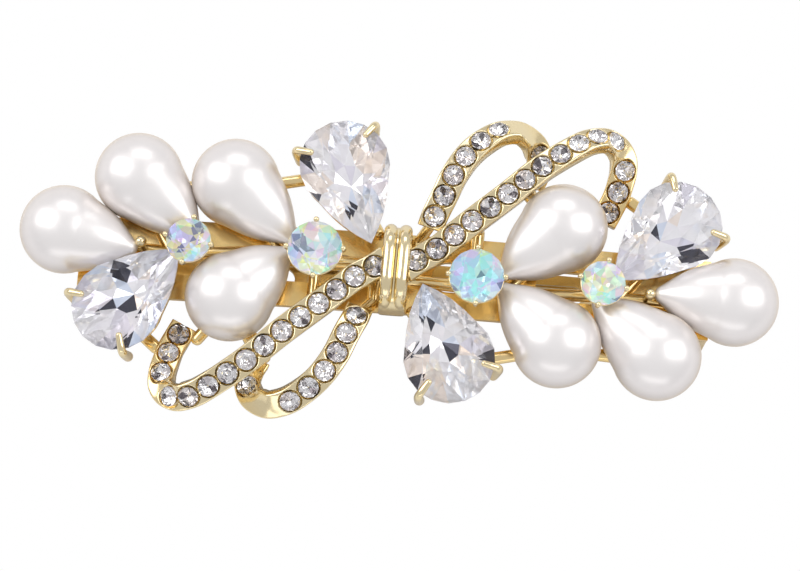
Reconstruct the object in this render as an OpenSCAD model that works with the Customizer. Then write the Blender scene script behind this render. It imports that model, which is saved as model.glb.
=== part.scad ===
// Jewelled French-clip barrette. X runs along the clip, Y across it, Z up.
// The origin is under the middle of the barrette, at the level it rests on.
// The decoration repeats itself after half a turn about Z.

/* [Clip] */
// Length of the base bar along X
bar_l = 70; // [68:0.5:72]
// Width of the base bar
bar_w = 9; // [8.6:0.1:9.4]
// Thickness of the base bar
bar_t = 0.8; // [0.6:0.1:0.8]
// Height of the underside of the base bar at its crown
bar_z = 9; // [8.8:0.1:9]
// Radius of the shallow arch that bar, arm and spray follow
arch_r = 300; // [290:10:340]
// Width of the swing arm
arm_w = 5.6; // [5:0.1:6]
// Thickness of the swing arm
arm_t = 0.8; // [0.6:0.1:0.8]
// Height of the underside of the arm at its crown
arm_z = 3; // [2.9:0.1:3]
// Radius of the hinge pin
pin_r = 0.6; // [0.5:0.05:0.65]
// Running clearance between a pin and its knuckle
pin_gap = 0.05; // [0.03:0.01:0.08]

/* [Stones] */
// Radius of the round end of a pearl drop
pearl_r = 4.9; // [4.7:0.05:4.95]
// Height of a pearl drop above its widest line
pearl_dome = 4.6; // [4.2:0.1:4.9]
// Radius of the round end of a clear drop
clear_r = 5.0; // [4.8:0.05:5.1]
// Diameter of the large round stones beside the knot
big_d = 6; // [5.8:0.1:6.1]
// Diameter of the small round stones
small_d = 4.9; // [4.7:0.1:5]
// Diameter of one pave stone
pave_d = 2.2; // [2:0.05:2.25]
// Spacing of the pave stones along a ribbon
pave_pitch = 2.5; // [2.4:0.05:2.6]

/* [Bow] */
// Width of a ribbon over its walls
ribbon_w = 3; // [2.9:0.05:3.1]
// Depth of a ribbon
ribbon_d = 1.9; // [1.8:0.05:2]
// Thickness of a ribbon wall
ribbon_wall = 0.35; // [0.3:0.01:0.36]
// Radius of one wrap of the knot
wrap_r = 0.68; // [0.6:0.01:0.7]

/* [Hidden] */
$fn = 48;

gold = [0.86, 0.74, 0.46];
clip_gold = [0.80, 0.66, 0.38];
pearl_white = [0.95, 0.92, 0.90];
crystal = [0.82, 0.84, 0.90];
aurora = [0.70, 0.80, 0.86];

// Clip: the hinge is at the -X end and the latch at the +X end
end_x = bar_l / 2;
hinge_x = -32.5;
hinge_z = arm_z + arm_t / 2 - drop(hinge_x);
knuckle_r = 1.1;
ear_l = 7.4;
ear_t = 0.7;
ear_y = bar_w / 2 - ear_t;
anchor_x = -29.5;
anchor_z = 5.6;
anchor_r = 0.45;
strip_w = 4;
strip_t = 0.4;
strip_z = 4.6;
strip_end = 27;
strip_bend_r = 525;
latch_x = 31.5;
wing_l = 2.4;
wing_t = 0.5;
wing_y = 1.5;
wing_top = 6.25;
barb_w = 1.05;
head_w = 8;
head_l = 5.4;
slot_l = 3.2;
slot_w = 5.2;
plate_z = wing_top + 0.36;
plate_t = 0.34;
window_w = 3.4;
rivet_r = 0.5;

// Levels above the resting plane at the crown of the arch
bar_top = bar_z + bar_t;
rod_z = bar_top + 0.5;
rod_r = 0.7;
post_r = 0.6;
cup_floor = 10.9;
cup_t = 0.3;
cup_h = 1.7;
pearl_base = cup_floor + cup_t;
pearl_belly = 2.1;
pearl_tip_r = 0.9;
clear_girdle = 13.9;
clear_pavilion = 2.8;
clear_crown = 1.5;
clear_tip_r = 0.3;
clear_edge = 0.3;
drop_bulge = 0.35;
drop_middle = 0.45;
big_z = 16;
small_z = 16.3;
seat_gap = 0.04;
seat_z = 14;
bead_r = 0.62;
bead_z = 13.6;
claw_angle = 57;

// Places of the spray in the plane of the clip, [x, y]. A drop is [round-end centre, tip].
// Lists of the left half are given as if it had been turned half a turn onto the right.
right_pearls = [
    [[18.2, 5.75], [12.4, 0.35]],
    [[18.2, -7.25], [12.3, -1.95]],
    [[29.3, -7.65], [22.9, -2.5]],
    [[37.65, -0.75], [29.8, -0.7]]];
left_pearls = [
    [[17.9, 4.7], [12.5, -0.35]],
    [[18.3, -8.2], [12.1, -2.5]],
    [[29.1, -8.3], [22.8, -2.5]],
    [[36.9, -1.95], [29.6, -0.2]]];
right_clears = [
    [[6.55, -10.05], [3.2, -2.3]],
    [[30.7, 7.1], [24.1, 0.5]]];
left_clears = [
    [[6.4, -10.85], [2.9, -2.4]],
    [[30.0, 6.55], [23.9, 0.2]]];
right_rounds = [
    [[8.75, -1.15], big_d, big_z, 1],
    [[22.3, -0.8], small_d, small_z, 80]];
left_rounds = [
    [[8.75, -0.65], big_d, big_z, 1],
    [[22.3, -0.6], small_d, small_z, 80]];
bead_at = [28.1, -0.85];

// Ribbon routes: [x, y, height of the top face, outward bank in degrees]
outer_route = [
    [0.9, -0.6, 14.35, 0], [2.25, 0.5, 14.4, 0], [4.3, 1.85, 14.6, 0], [6.1, 3.5, 14.8, 2],
    [8.0, 5.25, 15.0, 2], [11.7, 8.6, 15.2, 4], [15.35, 12.1, 15.2, 8], [19.1, 15.1, 14.9, 14],
    [20.8, 16.15, 14.5, 16], [22.5, 16.55, 13.9, 14], [23.9, 15.95, 13.2, 10],
    [24.65, 14.75, 12.6, 8], [24.65, 13.3, 12.15, 6], [24.3, 11.8, 11.75, 4],
    [23.85, 10.3, 11.3, 2], [23.25, 8.9, 10.9, 0], [22.65, 7.6, 10.7, 0]];
inner_route = [
    [3.5, 4.65, 12.6, 0], [3.9, 5.95, 13.4, 0], [4.8, 8.2, 14.1, 4], [5.7, 10.6, 14.5, 8],
    [7.0, 12.9, 14.7, 12], [8.65, 14.8, 14.6, 16], [10.6, 16.3, 14.2, 18],
    [12.8, 16.75, 13.4, 14], [14.6, 15.7, 12.6, 8], [15.2, 13.9, 11.9, 4],
    [14.9, 12.3, 11.3, 0], [14.3, 10.9, 10.9, 0]];
route_steps = 3;
// Stones of a ribbon: [distance of the first, stones before the turn, after it, extra gap there]
outer_stones = [1.75, 12, 3, 1.2];
inner_stones = [1.5, 6, 1, 4.4];

function drop(x) = x * x / (2 * arch_r);
function arched(p, z) = [p.x, p.y, z - drop(p.x)];
function unit(v) = v / norm(v);

// Catmull-Rom curve through a route, as a list of points with the same fields
function between(a, b, c, d, t) =
    (2 * b + (c - a) * t + (2 * a - 5 * b + 4 * c - d) * t * t
     + (3 * b - a - 3 * c + d) * t * t * t) / 2;
function smooth(p) = let (n = len(p) - 1) concat(
    [for (i = [0 : n - 1], k = [0 : route_steps - 1])
        between(p[max(i - 1, 0)], p[i], p[i + 1], p[min(i + 2, n)], k / route_steps)],
    [p[n]]);

// Frame of a ribbon at each point: [origin, side, normal, tangent]
function lay(p) = let (q = [for (a = smooth(p)) [a.x, a.y, a.z - drop(a.x)]],
                       bank = [for (a = smooth(p)) a[3]], n = len(q) - 1)
    [for (i = [0 : n]) let (
        t = unit(q[min(i + 1, n)] - q[max(i - 1, 0)]),
        left = unit(cross([0, 0, 1], t)),
        up = cross(t, left),
        side = left * cos(bank[i]) - up * sin(bank[i]))
        [q[i], side, cross(t, side), t]];
function travelled(f, i) = i == 0 ? 0 : travelled(f, i - 1) + norm(f[i][0] - f[i - 1][0]);

// Frame at a given distance along a laid ribbon
function along(f, s) = let (
    reach = [for (i = [0 : len(f) - 1]) travelled(f, i)],
    i = max([for (k = [0 : len(f) - 2]) if (reach[k] <= s) k]),
    t = min(1, (s - reach[i]) / (reach[i + 1] - reach[i])))
    [for (k = [0 : 3]) f[i][k] * (1 - t) + f[i + 1][k] * t];

// One closed solid with the same outline at every frame
module sweep(frames, outline) {
    n = len(outline);
    m = len(frames);
    points = [for (f = frames, o = outline) f[0] + f[1] * o.x + f[2] * o.y];
    walls = [for (i = [0 : m - 2], k = [0 : n - 1]) let (
        a = i * n + k, b = i * n + (k + 1) % n)
        each [[a, b + n, b], [a, a + n, b + n]]];
    first = [for (k = [0 : n - 1]) k];
    last = [for (k = [n - 1 : -1 : 0]) (m - 1) * n + k];
    polyhedron(points = points, faces = concat([first], walls, [last]), convexity = 8);
}

// Strip of an arch: x0 to x1 along X, centred on Y, its underside at z at the crown
module arch_strip(x0, x1, width, thickness, z, radius) {
    a0 = asin(x0 / radius);
    a1 = asin(x1 / radius);
    translate([0, 0, z - radius]) rotate([90, 0, 0]) rotate([0, 0, 90 - a1])
        rotate_extrude(angle = a1 - a0, $fn = 360)
            translate([radius, -width / 2]) square([thickness, width]);
}

// Cylinder along Y, centred on the clip
module cross_pin(x, z, r, l) {
    translate([x, 0, z]) rotate([90, 0, 0]) cylinder(h = l, r = r, center = true);
}

// Straight cast rod between two points, with round ends
module rod(p, q, r) {
    hull() for (e = [p, q]) translate(e) sphere(r, $fn = 10);
}

// Lean a piece with the arch at [x, y], about the height of its stone
module seat(p) {
    translate([p.x, p.y, seat_z - drop(p.x)]) rotate([0, asin(p.x / arch_r), 0])
        translate([0, 0, -seat_z]) children();
}

// Local frame of a drop: its round end at the origin, its tip along +X
module seat_drop(d) {
    v = d[1] - d[0];
    seat(d[0]) rotate([0, 0, atan2(v.y, v.x)]) children();
}
function tip_of(d) = norm(d[1] - d[0]);

// Radius and place of the circle that swells the sides of a drop
function middle_r(r, tip_r) = r - drop_middle * (r - tip_r) + drop_bulge;

// Flat outline of a drop
module drop_outline(r, tip_r, l) {
    hull() {
        circle(r, $fn = 40);
        translate([l * drop_middle, 0]) circle(middle_r(r, tip_r), $fn = 32);
        translate([l, 0]) circle(tip_r, $fn = 12);
    }
}

// Dome of a pearl drop: a ball pressed a little lower
module dome(r, grow) {
    scale([1, 1, (pearl_dome + grow) / (pearl_r + grow)]) sphere(r + grow, $fn = 28);
}

// Pearl drop: a flat-backed dome that narrows to a low tip
module pearl_solid(l, grow) {
    belly_z = pearl_base + pearl_belly;
    hull() {
        intersection() {
            union() {
                translate([0, 0, belly_z]) dome(pearl_r, grow);
                translate([l * drop_middle, 0, belly_z])
                    dome(middle_r(pearl_r, pearl_tip_r), grow);
            }
            translate([-10, -10, pearl_base - grow]) cube(20);
        }
        translate([l, 0, belly_z]) sphere(pearl_tip_r + grow, $fn = 12);
        translate([l, 0, pearl_base - grow]) cylinder(h = 0.1, r = pearl_tip_r, $fn = 12);
    }
}

module pearl_cup(l) {
    difference() {
        translate([0, 0, cup_floor]) linear_extrude(cup_t + cup_h)
            drop_outline(pearl_r - 0.1, pearl_tip_r, l + 0.1);
        pearl_solid(l, seat_gap);
    }
}

// Clear drop: crown, girdle and pavilion
module clear_solid(l, grow) {
    table = 0.56;
    mid = l * 0.3;
    hull() {
        translate([0, 0, clear_girdle]) linear_extrude(clear_edge)
            drop_outline(clear_r + grow, clear_tip_r + grow, l);
        translate([mid, 0, clear_girdle + clear_edge + clear_crown - 0.05]) linear_extrude(0.05)
            scale(table) translate([-mid, 0]) drop_outline(clear_r, clear_tip_r, l);
        translate([mid, 0, clear_girdle - clear_pavilion - grow])
            cylinder(h = 0.05, r = 0.3, $fn = 12);
    }
}

// One claw that leans over the crown, at the edge of the round end
module claw() {
    outside = clear_r + 0.4;
    translate([outside, 0, clear_girdle - 1.6]) cylinder(h = 2.2, r = 0.45, $fn = 16);
    hull() {
        translate([outside, 0, clear_girdle + 0.75]) sphere(0.45, $fn = 12);
        translate([outside - 1.5, 0, clear_girdle + 1.75]) sphere(0.35, $fn = 12);
    }
}

module drop_setting(l) {
    foot = 0.5;
    foot_z = rod_z + 0.3;
    wall_top = clear_girdle - 0.2;
    difference() {
        hull() {
            translate([0, 0, wall_top - 0.9]) linear_extrude(0.9)
                drop_outline(clear_r + 0.05, clear_tip_r, l - 0.3);
            translate([l * 0.3, 0, foot_z]) linear_extrude(0.1)
                scale(foot) translate([-l * 0.3, 0]) drop_outline(clear_r, clear_tip_r, l);
        }
        clear_solid(l, seat_gap);
    }
    for (side = [-1, 1]) rotate([0, 0, 180 + side * claw_angle]) difference() {
        claw();
        rotate([0, 0, -180 - side * claw_angle]) clear_solid(l, seat_gap);
    }
}

// Round stone: girdle at z = 0, table up
module round_stone(d) {
    r = d / 2;
    translate([0, 0, -r * 0.86]) cylinder(h = r * 0.86, r1 = 0.05, r2 = r);
    cylinder(h = r * 0.06, r = r);
    translate([0, 0, r * 0.06]) cylinder(h = r * 0.34, r1 = r, r2 = r * 0.58);
}

// Post, dish and four bead prongs for a round stone with its girdle at z
module round_setting(d, z, turn) {
    r = d / 2;
    prong_r = r + 0.43;
    dish_h = r * 0.72;
    difference() {
        union() {
            translate([0, 0, rod_z]) cylinder(h = z - r - rod_z + 0.4, r = 0.6);
            translate([0, 0, z - 0.5 - dish_h]) cylinder(h = dish_h, r1 = r * 0.38, r2 = r + 0.05);
            translate([0, 0, z - 0.5]) cylinder(h = 0.3, r = r + 0.35);
        }
        translate([0, 0, z]) round_stone(d + 3 * seat_gap);
        translate([0, 0, z - 0.6]) cylinder(h = 0.7, r = r - 0.35);
    }
    for (k = [0 : 3]) rotate([0, 0, turn + 90 * k]) translate([prong_r, 0, 0]) {
        translate([0, 0, z - 0.55]) cylinder(h = 1, r = 0.36, $fn = 20);
        translate([0, 0, z + 0.5]) sphere(0.42, $fn = 20);
    }
}

module base_bar() color(clip_gold) difference() {
    union() {
        arch_strip(-end_x, end_x, bar_w, bar_t, bar_z, arch_r);
        for (side = [-1, 1])
            translate([-end_x + 0.1, side * (ear_y + ear_t / 2) - ear_t / 2, 0])
                cube([ear_l, ear_t, bar_z - drop(end_x) + 0.4]);
    }
    for (x = [-20.5, -9, 9, 20.5])
        translate([x, 0, bar_z - 4]) linear_extrude(8)
            hull() for (s = [-1, 1]) translate([s * 3.2, 0]) circle(window_w / 2, $fn = 32);
    cross_pin(hinge_x, hinge_z, pin_r, bar_w + 2);
    cross_pin(anchor_x, anchor_z, anchor_r, bar_w + 2);
    for (side = [-1, 1])
        translate([latch_x, side * 3.2, bar_z - 4]) cylinder(h = 6, r = rivet_r);
}

module hinge_pin() color(clip_gold) {
    cross_pin(hinge_x, hinge_z, pin_r, bar_w);
    for (side = [-1, 1]) translate([hinge_x, side * (bar_w / 2 + 0.2), hinge_z])
        rotate([90, 0, 0]) cylinder(h = 0.4, r = pin_r + 0.3, center = true);
}

module anchor_pin() color(clip_gold) cross_pin(anchor_x, anchor_z, anchor_r, bar_w);

module swing_arm() color(clip_gold) {
    difference() {
        union() {
            arch_strip(hinge_x, end_x - 1.2, head_w, arm_t, arm_z, arch_r);
            cross_pin(hinge_x, hinge_z, knuckle_r, arm_w);
        }
        for (side = [-1, 1])
            translate([-end_x - 2, side * (arm_w + head_w) / 2 - head_w / 2, -1])
                cube([bar_l + 2 - head_l, head_w, 6]);
        cross_pin(hinge_x, hinge_z, pin_r + pin_gap, arm_w + 2);
        for (x = [-18, 0, 18])
            translate([x, 0, arm_z - 4]) linear_extrude(8)
                hull() for (s = [-1, 1]) translate([s * 5.5, 0]) circle(1.3, $fn = 24);
        translate([latch_x - slot_l / 2, -slot_w / 2, 0]) cube([slot_l, slot_w, 4]);
    }
}

module tension_bar() color(clip_gold) {
    difference() {
        union() {
            mirror([0, 0, 1])
                arch_strip(anchor_x, strip_end, strip_w, strip_t, -strip_z - strip_t, strip_bend_r);
            cross_pin(anchor_x, anchor_z, anchor_r + 0.45, strip_w);
        }
        cross_pin(anchor_x, anchor_z, anchor_r + pin_gap, strip_w + 2);
        for (x = [-13, 13])
            translate([x, 0, 0]) linear_extrude(9)
                hull() for (s = [-1, 1]) translate([s * 7, 0]) circle(1.1, $fn = 24);
    }
}

module latch_bracket() color(clip_gold) {
    wall_x = end_x - 0.8;
    difference() {
        union() {
            translate([wall_x - 5.2, -bar_w / 2, plate_z]) cube([5.3, bar_w, plate_t]);
            translate([wall_x, -bar_w / 2, 0]) cube([0.8, bar_w, plate_z + plate_t]);
        }
        translate([wall_x - 1, -2.4, 1.2]) cube([3, 4.8, 3.6]);
        for (side = [-1, 1])
            translate([latch_x, side * 3.2, plate_z - 1]) cylinder(h = 3, r = rivet_r);
    }
}

module latch_rivets() color(clip_gold) for (side = [-1, 1])
    translate([latch_x, side * 3.2, plate_z - 0.3]) {
        cylinder(h = bar_top - drop(latch_x) - plate_z + 0.2, r = rivet_r);
        cylinder(h = 0.3, r = rivet_r + 0.3);
    }

// Spring wing of the latch on the +Y side, with a barb that holds the arm's head
module wing() color(clip_gold) translate([latch_x - wing_l / 2, 0, 0]) {
    translate([0, wing_y + wing_t / 2, wing_top]) rotate([0, 90, 0])
        cylinder(h = wing_l, r = 0.34);
    translate([0, wing_y, 0.7]) cube([wing_l, wing_t, wing_top - 0.7]);
    translate([0, wing_y, 0]) rotate([90, 0, 90]) linear_extrude(wing_l)
        polygon([[0, 0.3], [0.5, 0.3], [wing_t + barb_w, 1.05], [wing_t + barb_w, 1.15],
                 [0, 1.15]]);
}
module latch_wing_back() wing();
module latch_wing_front() mirror([0, 1, 0]) wing();

// Cast rods that tie the cups of the right half together over the bar
module spray_frame(pearls, clears, rounds) {
    spine = [[1.2, -0.8], rounds[0][0], [15.2, -1.3], rounds[1][0], bead_at, [36, -1.2]];
    links = [
        [[12.5, -1.1], pearls[0][0]],
        [[12.5, -1.1], pearls[1][0]],
        [[25, -0.8], pearls[2][0]],
        [[25, -0.8], clears[1][0]],
        [clears[0][0], pearls[1][0]],
        [pearls[1][0], pearls[2][0]],
        [clears[0][0], [2.2, -4.4]],
        [pearls[0][0], [13.6, 10.6]],
        [pearls[0][0], [21.15, 9.0]],
        [[25.6, 10.2], clears[1][0]],
        [[2.2, -0.8], [2.2, 3.4]],
        [rounds[0][0], [8.9, 5.2]],
        [pearls[0][0], [14.9, 9.5]]];
    posts = [
        [[8.9, 5.2], [8.3, 5.6], 13.4],
        [[14.9, 9.5], [13.6, 10.3], 13.5],
        [[2.2, 3.4], [3.6, 5.3], 11.9]];
    for (i = [0 : len(spine) - 2])
        rod(arched(spine[i], rod_z), arched(spine[i + 1], rod_z), rod_r);
    for (k = links)
        rod(arched(k[0], rod_z), arched(k[1], rod_z), rod_r);
    for (k = posts)
        rod(arched(k[0], rod_z), arched(k[1], k[2]), post_r);
}
module spray_frame_right() color(gold) spray_frame(right_pearls, right_clears, right_rounds);
module spray_frame_left() color(gold)
    rotate(180) spray_frame(left_pearls, left_clears, left_rounds);

// Centre block of the knot, with its flat ends to front and back
module knot_band() color(gold)
    translate([-1.55, -4.85, bar_top - 0.1]) cube([3.1, 9.45, 2.55]);

// One tube of the knot, bent over the bow from front to back
module knot_wrap(x) {
    half = 4;
    top = 15.2;
    corner = 1.8;
    foot = bar_top + 2.1;
    bow = 0.5;
    crown = [for (a = [90 : -11.25 : 0])
        [half - corner + corner * cos(a), top - corner + corner * sin(a)]];
    flat = [for (y = [0.2 : 0.8 : half - corner - 0.2])
        [y, top + bow * (0.42 - pow(y / half, 2))]];
    back = concat(flat, crown, [[half, foot]]);
    front = [for (i = [len(back) - 1 : -1 : 0]) [-back[i][0], back[i][1]]];
    path = [for (p = concat(front, back)) [x + 0.02 * p[0], p[0], p[1]]];
    n = len(path) - 1;
    frames = [for (i = [0 : n]) let (
        t = unit(path[min(i + 1, n)] - path[max(i - 1, 0)]),
        s = unit(cross(t, [1, 0, 0])))
        [path[i], s, cross(t, s), t]];
    sweep(frames, [for (k = [0 : 11]) wrap_r * [cos(30 * k), sin(30 * k)]]);
}
module knot_wrap_right() color(gold) knot_wrap(0.72);
module knot_wrap_left() color(gold) knot_wrap(-0.72);

// Ribbon: a channel with a floor and two walls, open upward for its stones
module ribbon(route) {
    h = ribbon_w / 2;
    w = h - ribbon_wall;
    bed = -1.25;
    sweep(lay(route), [[-h, -ribbon_d], [h, -ribbon_d], [h, 0], [w, 0], [w, bed], [-w, bed],
                       [-w, 0], [-h, 0]]);
}
module pave(route, stones) {
    f = lay(route);
    for (k = [0 : stones[1] + stones[2] - 1]) {
        at = along(f, stones[0] + k * pave_pitch + (k < stones[1] ? 0 : stones[3]));
        n = unit(at[2]);
        translate(at[0] - n * 0.25) rotate([0, acos(n.z), atan2(n.y, n.x)])
            round_stone(pave_d, $fn = 16);
    }
}
module bow_ribbon_outer_right() color(gold) ribbon(outer_route);
module bow_ribbon_outer_left() color(gold) rotate(180) ribbon(outer_route);
module bow_ribbon_inner_right() color(gold) ribbon(inner_route);
module bow_ribbon_inner_left() color(gold) rotate(180) ribbon(inner_route);
module pave_outer_right() color(crystal) pave(outer_route, outer_stones);
module pave_outer_left() color(crystal) rotate(180) pave(outer_route, outer_stones);
module pave_inner_right() color(crystal) pave(inner_route, inner_stones);
module pave_inner_left() color(crystal) rotate(180) pave(inner_route, inner_stones);

module seed_bead() color(gold) seat(bead_at) {
    translate([0, 0, rod_z]) cylinder(h = bead_z - rod_z, r = 0.35, $fn = 20);
    translate([0, 0, bead_z]) sphere(bead_r, $fn = 28);
}
module seed_bead_right() seed_bead();
module seed_bead_left() rotate(180) seed_bead();

// Numbered pieces: the first half of each family is on the left, the rest on the right
module placed(i, half) rotate(i <= half ? 180 : 0) children();
function mate(left, right, i) = let (n = len(left)) i <= n ? left[n - i] : right[i - n - 1];

module pearl(i) color(pearl_white) placed(i, 4) let (d = mate(left_pearls, right_pearls, i))
    seat_drop(d) pearl_solid(tip_of(d), 0);
module pearl_cup_at(i) color(gold) placed(i, 4) let (d = mate(left_pearls, right_pearls, i))
    seat_drop(d) pearl_cup(tip_of(d));
module clear_drop(i) color(crystal) placed(i, 2) let (d = mate(left_clears, right_clears, i))
    seat_drop(d) clear_solid(tip_of(d), 0);
module drop_setting_at(i) color(gold) placed(i, 2) let (d = mate(left_clears, right_clears, i))
    seat_drop(d) drop_setting(tip_of(d));
module aurora_stone(i) color(aurora) placed(i, 2) let (s = mate(left_rounds, right_rounds, i))
    seat(s[0]) translate([0, 0, s[2]]) round_stone(s[1]);
module aurora_setting(i) color(gold) placed(i, 2) let (s = mate(left_rounds, right_rounds, i))
    seat(s[0]) round_setting(s[1], s[2], s[3]);

base_bar();
hinge_pin();
anchor_pin();
swing_arm();
tension_bar();
latch_bracket();
latch_rivets();
latch_wing_front();
latch_wing_back();
spray_frame_right();
spray_frame_left();
knot_band();
knot_wrap_right();
knot_wrap_left();
bow_ribbon_outer_right();
bow_ribbon_outer_left();
bow_ribbon_inner_right();
bow_ribbon_inner_left();
pave_outer_right();
pave_outer_left();
pave_inner_right();
pave_inner_left();
seed_bead_right();
seed_bead_left();
for (i = [1 : 8]) {
    pearl(i);
    pearl_cup_at(i);
}
for (i = [1 : 4]) {
    clear_drop(i);
    drop_setting_at(i);
    aurora_stone(i);
    aurora_setting(i);
}
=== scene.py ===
# %% [markdown]
# # A jewelled French-clip barrette
# The imported model gives the size and place of every part. This lesson dresses it: pearls, cut
# stones, set ribbons and polished plate take the place of the plain solids. The clip underneath
# keeps its own solids and gets a better finish. The frame is loaded first. The finished model
# may not grow out of it.

# %% Load the frame
import math

import bpy
import numpy as np
from mathutils import Matrix, Vector


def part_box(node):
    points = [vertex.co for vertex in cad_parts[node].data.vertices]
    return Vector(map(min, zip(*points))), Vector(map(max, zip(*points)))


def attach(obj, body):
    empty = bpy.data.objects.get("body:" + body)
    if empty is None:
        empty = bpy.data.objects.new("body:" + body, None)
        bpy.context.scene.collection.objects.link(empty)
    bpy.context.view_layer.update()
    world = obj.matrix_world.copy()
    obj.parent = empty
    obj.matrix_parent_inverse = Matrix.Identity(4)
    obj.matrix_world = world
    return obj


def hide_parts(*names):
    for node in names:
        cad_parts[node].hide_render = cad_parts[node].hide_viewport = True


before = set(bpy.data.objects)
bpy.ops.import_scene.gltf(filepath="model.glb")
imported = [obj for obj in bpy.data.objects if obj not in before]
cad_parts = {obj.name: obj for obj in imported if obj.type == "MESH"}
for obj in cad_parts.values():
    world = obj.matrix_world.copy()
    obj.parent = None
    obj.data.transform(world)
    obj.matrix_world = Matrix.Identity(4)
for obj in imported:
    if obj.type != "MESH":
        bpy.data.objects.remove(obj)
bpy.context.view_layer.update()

MM = 0.001
ARCH_R = 300.0      # radius of the arch that the spray follows, mm
SEAT_Z = 14.0       # height about which each stone leans with the arch, mm

# %% [markdown]
# ## Camera and light
# A long lens looks down from just in front of the barrette, rolled a few degrees. Two big
# softboxes stand left and right, because pearls show their lights as broad windows. A grey
# world between them gives the metal and the stones something darker to mirror. Where the camera
# looks straight at the world or the floor, it sees plain white.

# %% Camera
ELEVATION = math.radians(76.0)
ROLL = math.radians(4.2)
DISTANCE = 320 * MM
LENS = 132.0
AIM = (0.48 * MM, -2.35 * MM)      # how far the aim lies right of and above the middle


def camera_axes():
    """Right, up and back directions of the camera, from its elevation and roll."""
    back = Vector((0, -math.cos(ELEVATION), math.sin(ELEVATION)))
    right = Vector((1, 0, 0))
    up = back.cross(right)
    turned_right = right * math.cos(ROLL) + up * math.sin(ROLL)
    turned_up = up * math.cos(ROLL) - right * math.sin(ROLL)
    return turned_right, turned_up, back


right, up, back = camera_axes()
camera = bpy.data.objects.new("camera", bpy.data.cameras.new("camera"))
camera.data.lens = LENS
camera.data.clip_start = 0.01
target = Vector((0, 0, SEAT_Z * MM)) + right * AIM[0] + up * AIM[1]
axes = Matrix((right, up, back)).transposed().to_4x4()
camera.matrix_world = Matrix.Translation(target + back * DISTANCE) @ axes
bpy.context.scene.collection.objects.link(camera)
bpy.context.scene.camera = camera
bpy.context.scene.view_settings.view_transform = "Standard"
print("camera stands", round(DISTANCE / MM), "mm from the stones")

# %% Lights and world
LIGHTS = [      # name, place in m, size in m, power in W
    ("key_left", (-0.30, 0.10, 0.30), (0.22, 0.34), 0.60),
    ("key_right", (0.30, 0.06, 0.30), (0.22, 0.34), 0.54),
    ("top_back", (0.0, 0.34, 0.30), (0.30, 0.14), 0.26),
    ("front_low", (0.0, -0.42, 0.12), (0.50, 0.10), 0.16),
]


def add_softbox(name, place, size, power):
    """One rectangular area light that faces the middle of the barrette."""
    light = bpy.data.lights.new(name, "AREA")
    light.shape = "RECTANGLE"
    light.size, light.size_y = size
    light.energy = power
    lamp = bpy.data.objects.new(name, light)
    lamp.location = place
    toward = Vector((0, 0, SEAT_Z * MM)) - Vector(place)
    lamp.rotation_euler = toward.to_track_quat("-Z", "Y").to_euler()
    bpy.context.scene.collection.objects.link(lamp)


for light_row in LIGHTS:
    add_softbox(*light_row)

world = bpy.data.worlds.new("studio")
world.use_nodes = True
soft_sky = world.node_tree.nodes["Background"]
soft_sky.inputs["Color"].default_value = (0.62, 0.62, 0.64, 1)
soft_sky.inputs["Strength"].default_value = 1.0
backdrop = world.node_tree.nodes.new("ShaderNodeBackground")
backdrop.inputs["Color"].default_value = (1, 1, 1, 1)
seen = world.node_tree.nodes.new("ShaderNodeLightPath")
sky_mix = world.node_tree.nodes.new("ShaderNodeMixShader")
world.node_tree.links.new(seen.outputs["Is Camera Ray"], sky_mix.inputs[0])
world.node_tree.links.new(soft_sky.outputs[0], sky_mix.inputs[1])
world.node_tree.links.new(backdrop.outputs[0], sky_mix.inputs[2])
world.node_tree.links.new(sky_mix.outputs[0],
                          world.node_tree.nodes["World Output"].inputs["Surface"])
bpy.context.scene.world = world
print("lights:", [row[0] for row in LIGHTS])

# %% [markdown]
# ## Building meshes from arrays
# Every new piece is a surface worked out as arrays. A *part* is a small record of points, faces
# and whether it is smooth, and a piece joins its parts into one mesh. Sculpting would also do,
# but arrays keep each size exact. The helpers below turn a grid of points into faces, close its
# ends, and stand a finished part on the arch of the clip.


# %% Mesh helpers
def closed_grid(grid, start="pole", end="pole"):
    """Part from rings of points that close around.

    Face (i, j) joins points j and j + 1 of ring i to those of ring i + 1. A pole end shrinks to
    the mean of its ring, a flat end keeps its ring and adds that mean as a middle point, and an
    open end is left for its caller to join.
    """
    rings, around = grid.shape[:2]
    points = grid.reshape(-1, 3)
    i, j = np.meshgrid(np.arange(rings - 1), np.arange(around), indexing="ij")
    a = i * around + j
    b = i * around + (j + 1) % around
    quads = np.stack([a, b, b + around, a + around], axis=-1).reshape(-1, 4)
    j = np.arange(around)
    first = len(points)
    triangles = []
    points = np.vstack([points, grid[0].mean(0), grid[-1].mean(0)])
    if start == "pole":
        keep = quads[:, 0] >= around
        quads = quads[keep]
        triangles.append(np.stack([np.full(around, first), around + (j + 1) % around,
                                   around + j], axis=-1))
    elif start == "flat":
        triangles.append(np.stack([np.full(around, first), (j + 1) % around, j], axis=-1))
    base = (rings - 1) * around
    if end == "pole":
        keep = quads[:, 3] < base
        quads = quads[keep]
        inner = base - around
        triangles.append(np.stack([np.full(around, first + 1), inner + j,
                                   inner + (j + 1) % around], axis=-1))
    elif end == "flat":
        triangles.append(np.stack([np.full(around, first + 1), base + j,
                                   base + (j + 1) % around], axis=-1))
    faces = quads.tolist() + [face for fan in triangles for face in fan.tolist()]
    return {"points": points, "faces": faces, "smooth": True}


def move_part(part, matrix, offset):
    """Part with every point p replaced by matrix times p, plus offset."""
    moved = dict(part)
    moved["points"] = part["points"] @ np.asarray(matrix, float).T + np.asarray(offset, float)
    return moved


def turned_half(part):
    """Part turned by half a turn about Z, which is how the left half repeats the right."""
    return move_part(part, np.diag([-1.0, -1.0, 1.0]), (0, 0, 0))


def arch_drop(x):
    """How far the arch has dropped at x: x squared over twice the arch radius."""
    return x * x / (2 * ARCH_R)


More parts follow.
